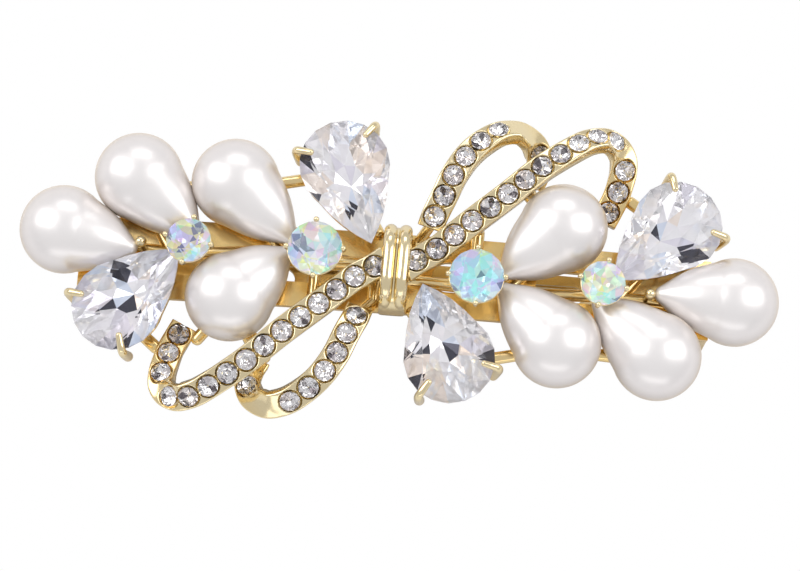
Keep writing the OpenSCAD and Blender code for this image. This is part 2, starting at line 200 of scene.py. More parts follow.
def seated(part, place, heading=0.0):
    """Part stood at place = (x, y): turned by heading, then leaned with the arch at SEAT_Z."""
    lean = math.asin(place[0] / ARCH_R)
    lean_matrix = np.array([[math.cos(lean), 0, math.sin(lean)], [0, 1, 0],
                            [-math.sin(lean), 0, math.cos(lean)]])
    turn_matrix = np.array([[math.cos(heading), -math.sin(heading), 0],
                            [math.sin(heading), math.cos(heading), 0], [0, 0, 1]])
    matrix = lean_matrix @ turn_matrix
    pivot = np.array([0, 0, SEAT_Z])
    offset = np.array([place[0], place[1], SEAT_Z - arch_drop(place[0])]) - matrix @ pivot
    return move_part(part, matrix, offset)


def face_tones(count, seed):
    """One even random number from 0 to 1 for each face, always the same for a seed."""
    return np.random.default_rng(seed).random(count)


def add_piece(name, parts, materials, node=None, seed=1):
    """One object from its parts, in mm, riding the clip's body and standing for its CAD node."""
    starts = np.cumsum([0] + [len(part["points"]) for part in parts])
    points = np.vstack([part["points"] for part in parts]) * MM
    faces = [tuple(index + start for index in face)
             for part, start in zip(parts, starts) for face in part["faces"]]
    counts = [len(part["faces"]) for part in parts]
    mesh = bpy.data.meshes.new(name)
    mesh.from_pydata(points.tolist(), [], faces)
    for material in materials:
        mesh.materials.append(material)
    mesh.polygons.foreach_set("use_smooth", np.repeat([p["smooth"] for p in parts], counts))
    tone = mesh.attributes.new("tone", "FLOAT", "FACE")
    tone.data.foreach_set("value", face_tones(len(faces), seed).astype(np.float32))
    mesh.validate()
    mesh.update()
    piece = bpy.data.objects.new(name, mesh)
    bpy.context.scene.collection.objects.link(piece)
    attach(piece, "brooch")
    if node:
        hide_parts(node)
    return piece


# %% [markdown]
# ## Finishes
# The metal is pale gold plate: a bright metal with small polishing waves, painted a warmer, deeper
# orange gold where it lies deep between the stones, as painted shade. Depth is taken from the
# Object height, so the struts under the stones are painted a deep orange gold, a painted shade.
# The pearl
# is a lacquered bead: a white body under a clear coat, greyer and warmer towards its edge as
# painted shade, with cream at the rim as a painted reflection of the gold.
# A cut stone has a clear crown over a mirrored back, and each facet of the back is painted its own
# light or dark tone, as painted reflections and glints.


# %% Material helpers
def new_material(name):
    """Empty node material with a Principled shader, returned as (material, tree, shader)."""
    material = bpy.data.materials.new(name)
    material.use_nodes = True
    tree = material.node_tree
    return material, tree, tree.nodes["Principled BSDF"]


def ramp(tree, factor, stops):
    """Colour ramp fed by factor, with stops as (position, colour)."""
    node = tree.nodes.new("ShaderNodeValToRGB")
    elements = node.color_ramp.elements
    while len(elements) < len(stops):
        elements.new(0.5)
    for element, (position, colour) in zip(elements, stops):
        element.position = position
        element.color = (*colour, 1)
    tree.links.new(factor, node.inputs["Fac"])
    return node


def build_plating_group():
    """Group that puts out a gold colour by height, a roughness and a waviness normal.

    Colour = mix of deep and bright gold by height over two levels; roughness = base plus noise;
    normal = bump of two sizes of noise.
    """
    group = bpy.data.node_groups.new("plated_metal", "ShaderNodeTree")
    face = group.interface
    for socket, kind, value in [("Deep", "NodeSocketColor", (0.80, 0.45, 0.12, 1)),
                                ("Bright", "NodeSocketColor", (0.93, 0.79, 0.50, 1)),
                                ("Low", "NodeSocketFloat", 0.0098),
                                ("High", "NodeSocketFloat", 0.0128),
                                ("Rough", "NodeSocketFloat", 0.14),
                                ("Waves", "NodeSocketFloat", 0.15)]:
        new = face.new_socket(socket, in_out="INPUT", socket_type=kind)
        new.default_value = value
    face.new_socket("Color", in_out="OUTPUT", socket_type="NodeSocketColor")
    face.new_socket("Roughness", in_out="OUTPUT", socket_type="NodeSocketFloat")
    face.new_socket("Normal", in_out="OUTPUT", socket_type="NodeSocketVector")
    nodes, links = group.nodes, group.links
    given = nodes.new("NodeGroupInput")
    out = nodes.new("NodeGroupOutput")
    place = nodes.new("ShaderNodeTexCoord")
    parts = nodes.new("ShaderNodeSeparateXYZ")
    links.new(place.outputs["Object"], parts.inputs[0])
    level = nodes.new("ShaderNodeMapRange")
    links.new(parts.outputs["Z"], level.inputs["Value"])
    links.new(given.outputs["Low"], level.inputs["From Min"])
    links.new(given.outputs["High"], level.inputs["From Max"])
    # Lower surfaces take the Deep colour; on the bow's pale gold this is painted shade, a deeper
    # orange where the metal lies between and under the stones.
    mix = nodes.new("ShaderNodeMix")
    mix.data_type = "RGBA"
    links.new(level.outputs["Result"], mix.inputs["Factor"])
    links.new(given.outputs["Deep"], mix.inputs[6])
    links.new(given.outputs["Bright"], mix.inputs[7])
    links.new(mix.outputs[2], out.inputs["Color"])
    grain = nodes.new("ShaderNodeTexNoise")
    grain.inputs["Scale"].default_value = 1500
    grain.inputs["Detail"].default_value = 3
    links.new(place.outputs["Object"], grain.inputs["Vector"])
    rough = nodes.new("ShaderNodeMath")
    rough.operation = "MULTIPLY_ADD"
    rough.inputs[1].default_value = 0.12
    links.new(grain.outputs["Fac"], rough.inputs[0])
    links.new(given.outputs["Rough"], rough.inputs[2])
    links.new(rough.outputs[0], out.inputs["Roughness"])
    swell = nodes.new("ShaderNodeTexNoise")
    swell.inputs["Scale"].default_value = 420
    swell.inputs["Detail"].default_value = 1.5
    links.new(place.outputs["Object"], swell.inputs["Vector"])
    bump = nodes.new("ShaderNodeBump")
    bump.inputs["Distance"].default_value = 0.0004
    links.new(given.outputs["Waves"], bump.inputs["Strength"])
    links.new(swell.outputs["Fac"], bump.inputs["Height"])
    links.new(bump.outputs["Normal"], out.inputs["Normal"])
    return group


plating = build_plating_group()


def plated(name, deep, bright, low, high, roughness, waves):
    """Metal that uses the plating group with its own colours, levels and finish."""
    material, tree, shader = new_material(name)
    group = tree.nodes.new("ShaderNodeGroup")
    group.node_tree = plating
    for socket, value in [("Deep", (*deep, 1)), ("Bright", (*bright, 1)), ("Low", low),
                          ("High", high), ("Rough", roughness), ("Waves", waves)]:
        group.inputs[socket].default_value = value
    shader.inputs["Metallic"].default_value = 1.0
    tree.links.new(group.outputs["Color"], shader.inputs["Base Color"])
    tree.links.new(group.outputs["Roughness"], shader.inputs["Roughness"])
    tree.links.new(group.outputs["Normal"], shader.inputs["Normal"])
    return material


# Bow metal: its deeper orange gold low down, between and under the stones, is painted shade.
gold = plated("pale_gold", (0.95, 0.68, 0.27), (0.90, 0.76, 0.47), 0.0088, 0.0128, 0.10, 0.30)
clip_gold = plated("clip_gold", (0.86, 0.70, 0.40), (0.98, 0.70, 0.29), 0.0060, 0.0092, 0.16, 0.14)
print("metals:", gold.name, clip_gold.name)


# %% Pearl finish
def make_pearl():
    """Satin lacquer bead: part metallic, painted greyer to its edge as painted shade and cream at
    the very rim as a painted reflection of the gold.
    """
    material, tree, shader = new_material("pearl_lustre")
    painted_rim_mask = tree.nodes.new("ShaderNodeLayerWeight")
    painted_rim_mask.inputs["Blend"].default_value = 0.5
    # Painted rim: the ramp paints the pearl greyer towards its edge as painted shade, and cream at
    # the very rim as a painted reflection of the gold cup.
    body = ramp(tree, painted_rim_mask.outputs["Facing"], [
        (0.0, (0.93, 0.90, 0.88)), (0.35, (0.88, 0.84, 0.82)), (0.60, (0.77, 0.72, 0.69)),
        (0.82, (0.78, 0.68, 0.57)), (1.0, (0.93, 0.80, 0.62))])
    tree.links.new(body.outputs["Color"], shader.inputs["Base Color"])
    place = tree.nodes.new("ShaderNodeTexCoord")
    cloud = tree.nodes.new("ShaderNodeTexNoise")
    cloud.inputs["Scale"].default_value = 240
    tree.links.new(place.outputs["Object"], cloud.inputs["Vector"])
    bump = tree.nodes.new("ShaderNodeBump")
    bump.inputs["Strength"].default_value = 0.08
    bump.inputs["Distance"].default_value = 0.0003
    tree.links.new(cloud.outputs["Fac"], bump.inputs["Height"])
    tree.links.new(bump.outputs["Normal"], shader.inputs["Normal"])
    shader.inputs["Metallic"].default_value = 0.5
    shader.inputs["Roughness"].default_value = 0.34
    shader.inputs["Coat Weight"].default_value = 0.4
    shader.inputs["Coat Roughness"].default_value = 0.24
    shader.inputs["Coat IOR"].default_value = 1.5
    return material


pearl_lustre = make_pearl()
print("pearl finish:", pearl_lustre.name)


# %% Stone finishes
def make_crown(name, tint, ior):
    """Clear cut glass with a faint body tint."""
    material, tree, shader = new_material(name)
    shader.inputs["Base Color"].default_value = (*tint, 1)
    shader.inputs["Roughness"].default_value = 0.0
    shader.inputs["IOR"].default_value = ior
    shader.inputs["Transmission Weight"].default_value = 1.0
    return material


def make_backing(name, stops, metallic=0.75, roughness=0.05, glow=0.0):
    """Mirrored back of a stone, each facet painted a light or dark tone by its own number through
    a
    ramp: painted reflections and glints.

    A little glow in the same tone is painted light: it stands for light that the many facets throw
    back and forth.
    """
    material, tree, shader = new_material(name)
    tone = tree.nodes.new("ShaderNodeAttribute")
    tone.attribute_name = "tone"
    colour = ramp(tree, tone.outputs["Fac"], stops)
    colour.color_ramp.interpolation = "CONSTANT"
    tree.links.new(colour.outputs["Color"], shader.inputs["Base Color"])
    tree.links.new(colour.outputs["Color"], shader.inputs["Emission Color"])
    shader.inputs["Emission Strength"].default_value = glow
    shader.inputs["Metallic"].default_value = metallic
    shader.inputs["Roughness"].default_value = roughness
    return material


def make_rainbow_crown():
    """Cut glass whose facets each carry one colour of a rainbow coat."""
    material, tree, shader = new_material("rainbow_crown")
    tone = tree.nodes.new("ShaderNodeAttribute")
    tone.attribute_name = "tone"
    colour = ramp(tree, tone.outputs["Fac"], [
        (0.0, (0.50, 1.0, 0.92)), (0.16, (1.0, 1.0, 0.62)), (0.30, (0.62, 0.70, 1.0)),
        (0.40, (1.0, 0.74, 0.88)), (0.52, (1.0, 1.0, 1.0)), (0.80, (0.60, 0.94, 1.0)),
        (0.91, (0.76, 0.66, 1.0))])
    colour.color_ramp.interpolation = "CONSTANT"
    tree.links.new(colour.outputs["Color"], shader.inputs["Base Color"])
    shader.inputs["Roughness"].default_value = 0.02
    shader.inputs["IOR"].default_value = 1.55
    shader.inputs["Transmission Weight"].default_value = 0.9
    return material


clear_crown = make_crown("clear_crown", (0.98, 0.97, 1.0), 1.5)
# Clear drop backs: white and lavender-grey facets, near-black facets as painted reflections of
# dark surroundings, faint orange and blue painted glints, and a painted glow.
clear_back = make_backing("clear_back", [
    (0.0, (1.0, 0.99, 1.0)), (0.34, (0.88, 0.86, 0.93)), (0.46, (1.0, 1.0, 1.0)),
    (0.76, (0.05, 0.05, 0.07)), (0.85, (1.0, 0.90, 0.80)), (0.92, (0.80, 0.88, 1.0))], 0.5,
    glow=0.11)
pave_crown = make_crown("pave_crown", (0.98, 0.97, 0.97), 1.5)
# Pave backs: white, grey and near-black facets and a warm one, painted reflections of light and
# dark surroundings.
pave_back = make_backing("pave_back", [
    (0.0, (1.0, 0.99, 0.99)), (0.40, (0.74, 0.70, 0.70)), (0.60, (1.0, 1.0, 1.0)),
    (0.78, (0.16, 0.14, 0.15)), (0.90, (0.86, 0.80, 0.76))], 0.85)
rainbow_crown = make_rainbow_crown()
# Rainbow backs: facets in the rainbow coat's own colours, plus white and dark facets that are
# painted reflections, and a painted glow.
rainbow_back = make_backing("rainbow_back", [
    (0.0, (0.70, 1.0, 1.0)), (0.20, (1.0, 0.80, 1.0)), (0.34, (0.80, 0.80, 1.0)),
    (0.44, (1.0, 1.0, 0.50)), (0.64, (1.0, 1.0, 1.0)), (0.92, (0.22, 0.26, 0.36))], 0.4,
    glow=0.14)
print("stone finishes:", clear_back.name, pave_back.name, rainbow_back.name)

# %% [markdown]
# ## Where the drops lie
# Each pearl and each clear drop is a pear shape lying on its side. Its place comes from the CAD
# solid: the point farthest from the middle is the tip, and the round end is one radius in from
# the other end.


# %% Read a drop's place
def drop_place(node):
    """(x, y) of the round end in mm, heading of the tip, radius and full length of a CAD drop."""
    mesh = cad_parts[node].data
    flat = np.empty(len(mesh.vertices) * 3)
    mesh.vertices.foreach_get("co", flat)
    points = flat.reshape(-1, 3)[:, :2] / MM
    low, high = points.min(0), points.max(0)
    middle = (low + high) / 2
    tip = points[np.argmax(np.linalg.norm(points - middle, axis=1))]
    for _ in range(4):
        axis = (tip - middle) / np.linalg.norm(tip - middle)
        across = np.array([-axis[1], axis[0]])
        side = points @ across
        middle = middle + across * ((side.max() + side.min()) / 2 - middle @ across)
        tip = points[np.argmax((points - middle) @ axis)]
    along = points @ axis
    radius = (side.max() - side.min()) / 2
    centre = middle + axis * (along.min() + radius - middle @ axis)
    return centre, math.atan2(axis[1], axis[0]), radius, along.max() - along.min()


PEARLS = {f"pearl_{i}": drop_place(f"pearl_{i}") for i in range(1, 9)}
CLEARS = {f"clear_drop_{i}": drop_place(f"clear_drop_{i}") for i in range(1, 5)}
for name, (centre, heading, radius, length) in {**PEARLS, **CLEARS}.items():
    print(name, "at", centre.round(1), "heading", round(math.degrees(heading)),
          "radius", round(radius, 2), "length", round(length, 1))

# %% [markdown]
# ## Pearl drops
# A drop pearl is a teardrop turned about its long axis and flattened underneath. The profile is a
# round end, a side that bulges a little, and a small round tip. It is carried around the axis
# as rings, and the lower half is pressed flat where it is glued into its cup. A stretched
# sphere would be quicker, but its tip stays blunt.

# %% Pear profile
PEARL_TIP = 1.0
PEAR_BULGE = 0.40       # how far the sides swell past a straight line, mm
PEARL_DOME = 0.94       # height of the dome as a share of the radius
PEARL_BACK = 2.1        # depth of the flat back below the widest line
PEARL_BELLY_Z = 13.3    # height of the widest line above the resting plane


def pear_profile(radius, tip, length, bulge, steps=30):
    """Half outline (x, r) of a pear from its round end to its tip.

    An arc of the big circle up to the tangent, the tangent line pushed out by bulge times a half
    sine, and an arc of the tip circle. length runs from the round end to the tip's end.
    """
    span = length - radius - tip
    turn = math.acos((radius - tip) / span)
    big = np.linspace(math.pi, turn, steps)
    small = np.linspace(turn, 0, steps // 2)
    line = np.linspace(0, 1, steps)[1:-1, None]
    start = np.array([radius * math.cos(turn), radius * math.sin(turn)])
    stop = np.array([span + tip * math.cos(turn), tip * math.sin(turn)])
    outward = np.array([math.cos(turn), math.sin(turn)])
    side = start + (stop - start) * line + outward * bulge * np.sin(math.pi * line) ** 1.2
    return np.vstack([
        np.stack([radius * np.cos(big), radius * np.sin(big)], axis=1), side,
        np.stack([span + tip * np.cos(small), tip * np.sin(small)], axis=1)])


def pear_loop(radius, tip, length, bulge, steps=30):
    """Closed pear outline and its outward normals, anticlockwise from the round end."""
    half = pear_profile(radius, tip, length, bulge, steps)
    loop = np.vstack([half * [1, -1], half[-2:0:-1]])
    tangent = np.roll(loop, -1, axis=0) - np.roll(loop, 1, axis=0)
    tangent /= np.linalg.norm(tangent, axis=1)[:, None]
    return loop, np.stack([tangent[:, 1], -tangent[:, 0]], axis=1)


def pearl_part(radius, length):
    """Teardrop about X: point = (x, r cos a, dome times r sin a), pressed flat below."""
    profile = pear_profile(radius, PEARL_TIP, length, PEAR_BULGE, 40)
    angle = np.linspace(0, 2 * math.pi, 72, endpoint=False)
    x, r = profile[:, 0][:, None], np.maximum(profile[:, 1], 1e-6)[:, None]
    height = r * PEARL_DOME * np.sin(angle)
    height = np.where(height < 0, PEARL_BACK * np.tanh(1.35 * height / PEARL_BACK), height)
    grid = np.stack([x + 0 * angle, r * np.cos(angle), PEARL_BELLY_Z + height], axis=-1)
    return closed_grid(grid[:, ::-1], "pole", "pole")


for name, (centre, heading, radius, length) in PEARLS.items():
    part = seated(pearl_part(radius, length), centre, heading)
    add_piece(name + "_bead", [part], [pearl_lustre], name)
print("pearls:", len(PEARLS))

# %% [markdown]
# ## Cups
# Each pearl is glued into a shallow cast cup. The cup is the pear outline carried up a small
# profile: out from the middle, up the wall, over a round rim and back down inside.

# %% Pearl cups
CUP_UNDER = [(0.35, 10.9), (0.14, 10.9)]    # how far the outline shrinks to its focus, height
CUP_WALL = [        # offset from the outline and height: up outside, over the rim, down inside
    (-0.62, 11.05), (-0.45, 11.5), (-0.32, 12.1), (-0.28, 12.4), (-0.34, 12.5), (-0.45, 12.4),
    (-0.55, 12.0)]
CUP_INSIDE = [(0.14, 11.2), (0.35, 11.2)]


def cup_part(radius, length):
    """Cup: the outline shrunk to its focus for the floor, moved along its normals for the wall.

    Each row of the three lists above gives one ring, from the underside round to the inside.
    """
    loop, normals = pear_loop(radius, PEARL_TIP, length, PEAR_BULGE, 24)
    focus = np.array([length * 0.2, 0])

    def ring(flat, z):
        return np.column_stack([flat, np.full(len(loop), z)])

    under, inside = ([ring(loop * (1 - share) + focus * share, z) for share, z in rows]
                     for rows in (CUP_UNDER, CUP_INSIDE))
    wall = [ring(loop + normals * offset, z) for offset, z in CUP_WALL]
    return closed_grid(np.array(under + wall + inside), "flat", "flat")


for name, (centre, heading, radius, length) in PEARLS.items():
    cup = name.replace("pearl_", "pearl_cup_")
    part = seated(cup_part(radius, length), centre, heading)
    add_piece(cup + "_wall", [part], [gold], cup)
print("cups:", len(PEARLS))

# %% [markdown]
# ## Cut stones
# A cut stone is a set of flat facets between a few rings: the table, a ring of star points, the
# girdle above and below, a ring under it and the point at the bottom. Round and pear-shaped
# stones share one pattern, and only the outline changes. The crown is clear and the pavilion is
# mirrored, each of its facets painted its own light or dark tone, so light that enters the crown
# comes back out broken into bright and dark patches, part true mirror and part painted reflection.


# %% Stone pattern
def stone_part(outline, focus, girdle_z, edge, crown, pavilion, table, mains, split=False):
    """Facets of a cut stone: a clear crown, then a mirrored pavilion in its last "back" faces.

    outline(t) gives girdle points for t from 0 to 1. A ring is the outline scaled towards the
    focus. Table and star rings have one point per main, half a step apart, and the girdle two.
    A split pavilion has a second ring near its point, so that no long facets meet there.
    """
    k = np.arange(mains)
    around = np.arange(2 * mains) / (2 * mains)
    girdle = outline(around)

    def ring(points, scale, z):
        flat = focus + (points - focus) * scale
        return np.column_stack([flat, np.full(len(flat), z)])

    top = girdle_z + edge
    rows = [ring(girdle[0::2], table, top + crown),
            ring(girdle[1::2], (1 + table) / 2 + 0.03, top + crown * 0.62),
            ring(girdle, 1.0, top), ring(girdle, 1.0, girdle_z),
            ring(girdle[1::2], 0.60, girdle_z - pavilion * 0.52),
            np.array([[focus[0], focus[1], girdle_z - pavilion]])]
    if split:
        rows.append(ring(girdle[0::2], 0.34, girdle_z - pavilion * 0.78))
    starts = np.cumsum([0] + [len(row) for row in rows])
    tab, star, upper, lower, deep, culet = starts[:6]
    inner = culet + 1
    tip = np.full(mains, culet)
    nxt = (k + 1) % mains
    low_faces = np.stack([upper + 2 * k, upper + 2 * k + 1, star + k], 1)
    up_faces = np.stack([upper + 2 * k + 1, upper + (2 * k + 2) % (2 * mains), star + k], 1)
    stars = np.stack([tab + k, star + k, tab + nxt], 1)
    kites = np.stack([tab + nxt, star + k, upper + 2 * nxt, star + nxt], 1)
    j = np.arange(2 * mains)
    band = np.stack([lower + j, lower + (j + 1) % (2 * mains), upper + (j + 1) % (2 * mains),
                     upper + j], 1)
    under_left = np.stack([lower + 2 * k + 1, lower + 2 * k, deep + k], 1)
    under_right = np.stack([lower + (2 * k + 2) % (2 * mains), lower + 2 * k + 1, deep + k], 1)
    main = np.stack([deep + k, inner + nxt if split else tip, deep + nxt, lower + 2 * nxt], 1)
    backs = [under_left, under_right, main[:, ::-1]]
    if split:
        backs += [np.stack([inner + k, deep + k, inner + nxt], 1),
                  np.stack([tip, inner + k, inner + nxt], 1)]
    points = np.vstack(rows)
    clear_faces = [(tab + k).tolist()]
    for block in (low_faces, up_faces, stars, kites, band):
        clear_faces += block.tolist()
    back_faces = [face for block in backs for face in block.tolist()]
    return {"points": points, "faces": clear_faces + back_faces, "smooth": False,
            "back": len(back_faces)}


def add_stones(name, stones, materials, node, seed):
    """Piece from stones: crowns in the first finish and mirrored backs in the second."""
    piece = add_piece(name, stones, materials, node, seed)
    index = np.concatenate([np.repeat([0, 1], [len(s["faces"]) - s["back"], s["back"]])
                            for s in stones])
    piece.data.polygons.foreach_set("material_index", index)
    piece.data.update()
    return piece


def pear_outline(radius, tip, length):
    """Function from t in 0..1 to points of a pear outline, evenly spread along its length."""
    loop, _ = pear_loop(radius, tip, length, PEAR_BULGE, 60)
    closed = np.vstack([loop, loop[:1]])
    reach = np.concatenate([[0], np.cumsum(np.linalg.norm(np.diff(closed, axis=0), axis=1))])
    return lambda t: np.column_stack([np.interp(t * reach[-1], reach, closed[:, c])
                                      for c in (0, 1)])


def round_outline(radius):
    """Function from t in 0..1 to points of a circle."""
    return lambda t: radius * np.column_stack([np.cos(2 * math.pi * t), np.sin(2 * math.pi * t)])


# %% Clear drops
CLEAR_GIRDLE = 13.9
CLEAR_TIP = 0.3
CLEAR_CUT = {"edge": 0.3, "crown": 1.5, "pavilion": 2.75, "table": 0.58, "mains": 10,
             "split": True}
CLEAR_SEED = 30
for k, (name, (centre, heading, radius, length)) in enumerate(CLEARS.items()):
    stone = stone_part(pear_outline(radius, CLEAR_TIP, length), np.array([length * 0.16, 0]),
                       CLEAR_GIRDLE, **CLEAR_CUT)
    add_stones(name + "_stone", [seated(stone, centre, heading)], [clear_crown, clear_back],
               name, CLEAR_SEED + k)
print("clear drops:", len(CLEARS))

# %% [markdown]
# ## Claw settings
# The clear drops sit in an open basket: two wire rails that follow the pear outline, a few struts
# between them, and claws that bend over the crown at the round end. A claw is a tapered
# finger carried along a short bent path.


# %% Tubes along a path
def tube_part(path, radii, sides=20, start="flat", end="flat"):
    """Tube: point = path point plus radius times (cos a, sin a) in the plane across the path."""
    path = np.asarray(path, float)
    radii = np.broadcast_to(np.asarray(radii, float), (len(path),))
    tangent = np.gradient(path, axis=0)
    tangent /= np.linalg.norm(tangent, axis=1)[:, None]
    helper = np.array([0.123, 0.05, 1.0]) if abs(tangent[0][2]) < 0.9 else np.array([1.0, 0.1, 0])
    side = np.cross(tangent, helper)
    side /= np.linalg.norm(side, axis=1)[:, None]
    over = np.cross(side, tangent)
    angle = np.linspace(0, 2 * math.pi, sides, endpoint=False)
    grid = (path[:, None] + radii[:, None, None]
            * (side[:, None] * np.cos(angle)[:, None] + over[:, None] * np.sin(angle)[:, None]))
    return closed_grid(grid[:, ::-1], start, end)


def rounded_tube(path, radius, sides=20):
    """Tube with half-round ends: its radius shrinks as a circle over one radius at each end."""
    path = np.asarray(path, float)
    along = np.broadcast_to(np.asarray(radius, float), (len(path),))
    step = np.linspace(0, 1, 7)[:-1]
    shrink = np.maximum(np.sqrt(1 - (1 - step) ** 2), 1e-4)
    first = (path[0] - path[1]) / np.linalg.norm(path[0] - path[1])
    last = (path[-1] - path[-2]) / np.linalg.norm(path[-1] - path[-2])
    head = path[0] + first * along[0] * (1 - step)[:, None]
    tail = path[-1] + last * along[-1] * (1 - step[::-1])[:, None]
    radii = np.concatenate([shrink * along[0], along, shrink[::-1] * along[-1]])
    return tube_part(np.vstack([head, path, tail]), radii, sides, "pole", "pole")


def curve_through(points, count=24):
    """Catmull-Rom curve: each span blends its four nearest points with cubic weights."""
    p = np.asarray(points, float)
    p = np.vstack([2 * p[0] - p[1], p, 2 * p[-1] - p[-2]])
    spans = len(p) - 3
    t = np.linspace(0, spans, count)
    i = np.minimum(t.astype(int), spans - 1)
    t = (t - i)[:, None]
    a, b, c, d = p[i], p[i + 1], p[i + 2], p[i + 3]
    return (2 * b + (c - a) * t + (2 * a - 5 * b + 4 * c - d) * t ** 2
            + (3 * b - a - 3 * c + d) * t ** 3) / 2


def loop_tube(loop, z, radius, sides=14):
    """Closed wire: circles of one radius about each point of a flat loop, at height z."""
    centre = np.column_stack([loop, np.full(len(loop), z)])
    tangent = np.roll(centre, -1, axis=0) - np.roll(centre, 1, axis=0)
    tangent /= np.linalg.norm(tangent, axis=1)[:, None]
    out = np.cross(tangent, [0, 0, 1.0])
    angle = np.linspace(0, 2 * math.pi, sides, endpoint=False)
    grid = (centre[:, None] + radius * (out[:, None] * np.cos(angle)[:, None]
                                        + np.array([0, 0, 1.0]) * np.sin(angle)[:, None]))
    grid = np.vstack([grid, grid[:1]])
    part = closed_grid(grid, "open", "open")
    last = len(loop) * sides
    part["faces"] = [[i - last if last <= i < last + sides else i for i in face]
                     for face in part["faces"]]
    return part


# %% Drop baskets
CLAW_ANGLES = (math.radians(123), math.radians(-123))
CLAW_RADII = np.linspace(0.58, 0.36, 30)    # from its foot to its end
RAIL_Z = CLEAR_GIRDLE - 1.25
RAIL_SHARE = 0.86       # size of the upper rail as a share of the drop's outline
FOOT_Z = 11.2
FOOT_SHARE = 0.55
STRUT_R = 0.34


def claw_part(radius, angle):
    """Finger beside the girdle that bends over the crown and tapers towards its end."""
    reach = [(radius + 0.10, 10.9), (radius + 0.34, 12.6), (radius + 0.50, 14.2),
             (radius + 0.30, 15.0), (radius - 0.40, 15.35), (radius - 1.20, 15.55)]
    path = [(r * math.cos(angle), r * math.sin(angle), z) for r, z in reach]
    return rounded_tube(curve_through(path, len(CLAW_RADII)), CLAW_RADII, 20)


def basket_parts(radius, length):
    """Two outline rails, eight struts and the claws of a drop setting."""
    loop, normals = pear_loop(radius, CLEAR_TIP, length, PEAR_BULGE, 26)
    focus = np.array([length * 0.22, 0])
    parts = [loop_tube(focus + (loop - focus) * RAIL_SHARE, RAIL_Z, 0.36),
             loop_tube(focus + (loop - focus) * FOOT_SHARE, FOOT_Z, 0.40)]
    for k in np.linspace(0, len(loop), 8, endpoint=False).astype(int):
        a = np.array([*(focus + (loop[k] - focus) * (FOOT_SHARE - 0.01)), FOOT_Z - 0.3])
        b = np.array([*(focus + (loop[k] - focus) * RAIL_SHARE), RAIL_Z])
        parts.append(rounded_tube([a, (a + b) / 2, b], STRUT_R, 14))
    parts += [claw_part(radius, angle) for angle in CLAW_ANGLES]
    return parts


for name, (centre, heading, radius, length) in CLEARS.items():
    node = name.replace("clear_drop_", "drop_setting_")
    parts = [seated(part, centre, heading) for part in basket_parts(radius, length)]
    add_piece(node + "_basket", parts, [gold], node)
print("drop settings:", len(CLEARS))

# %% [markdown]
# ## Round rainbow stones
# The four round stones are cut glass with a rainbow coat. Each stands on a post and a dish, held
# by four wires that end in small beads. Everything here is a profile turned about an
# upright axis, or a tube.

# %% Round stones and their settings
ROUND_Z = {6.0: 16.0, 4.9: 16.3}      # height of the girdle for each diameter
ROUND_TURN = {6.0: math.radians(1), 4.9: math.radians(80)}     # heading of the first wire
ROUND_SPIN = 0.3        # turn of the facets, radians
ROUND_SEED = 50
WIRE_R = 0.22
PRONG_BEAD_R = 0.31


def turned_part(profile, sides=40):
    """Profile (r, z) carried once around the Z axis."""
    profile = np.asarray(profile, float)
    angle = np.linspace(0, 2 * math.pi, sides, endpoint=False)
    r, z = profile[:, :1], profile[:, 1:]
    grid = np.stack([r * np.cos(angle), r * np.sin(angle), z + 0 * angle], axis=-1)
    return closed_grid(grid, "pole", "pole")


def round_setting_parts(radius, z, turn):
    """Post, dish and four wires with beads around a stone whose girdle is at z."""
    dish = [(1e-4, 10.3), (0.6, 10.3), (0.6, z - radius - 0.1), (radius * 0.45, z - radius * 0.82),
            (radius * 0.86, z - 0.75), (radius + 0.02, z - 0.36), (radius + 0.04, z - 0.16),
            (radius - 0.06, z - 0.12), (radius - 0.3, z - 0.6), (1e-4, z - radius * 0.93)]
    parts = [turned_part(dish)]
    for k in range(4):
        angle = turn + k * math.pi / 2
        wire = [(radius - 0.15, z - 1.0), (radius + 0.12, z - 0.45), (radius + 0.22, z + 0.1),
                (radius + 0.12, z + 0.42)]
        path = [(r * math.cos(angle), r * math.sin(angle), h) for r, h in wire]
        parts.append(rounded_tube(curve_through(path, 10), WIRE_R, 14))
        bead = turned_part([(PRONG_BEAD_R * math.sin(a), -PRONG_BEAD_R * math.cos(a))
                            for a in np.linspace(0, math.pi, 14)], 18)
        parts.append(move_part(bead, np.eye(3), path[-1]))
    return parts


ROUNDS = {}
for i in range(1, 5):
    node = f"aurora_stone_{i}"
    low, high = (np.array(corner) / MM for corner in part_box(node))
    width = round(high[1] - low[1], 1)
    diameter = min(ROUND_Z, key=lambda d: abs(d - width))
    z, turn = ROUND_Z[diameter], ROUND_TURN[diameter]
    place = ((low + high) / 2)[:2]
    ROUNDS[node] = place
    stone = stone_part(round_outline(diameter / 2), np.zeros(2), z, edge=0.12,
                       crown=diameter * 0.17, pavilion=diameter * 0.42, table=0.56, mains=8,
                       split=True)
    flip = math.pi if place[0] < 0 else 0.0
    add_stones(node + "_cut", [seated(stone, place, flip + ROUND_SPIN)],
               [rainbow_crown, rainbow_back], node, ROUND_SEED + i)
    parts = [seated(part, place, flip)
             for part in round_setting_parts(diameter / 2, z, turn)]
    add_piece(f"aurora_setting_{i}_prongs", parts, [gold], f"aurora_setting_{i}")
print("round stones:", len(ROUNDS))

# %% [markdown]
# ## The bow's ribbons
# A ribbon is a cast bar that sweeps along a smooth route and banks outward at the loops. Its top
# is a height field: flat metal, sunk in a round pit at every stone. Cutting pits with booleans
# would leave ragged faces. The route's points are those of the CAD ribbons, with more bank at
# the turns, so that the band narrows there as a turned strip does.

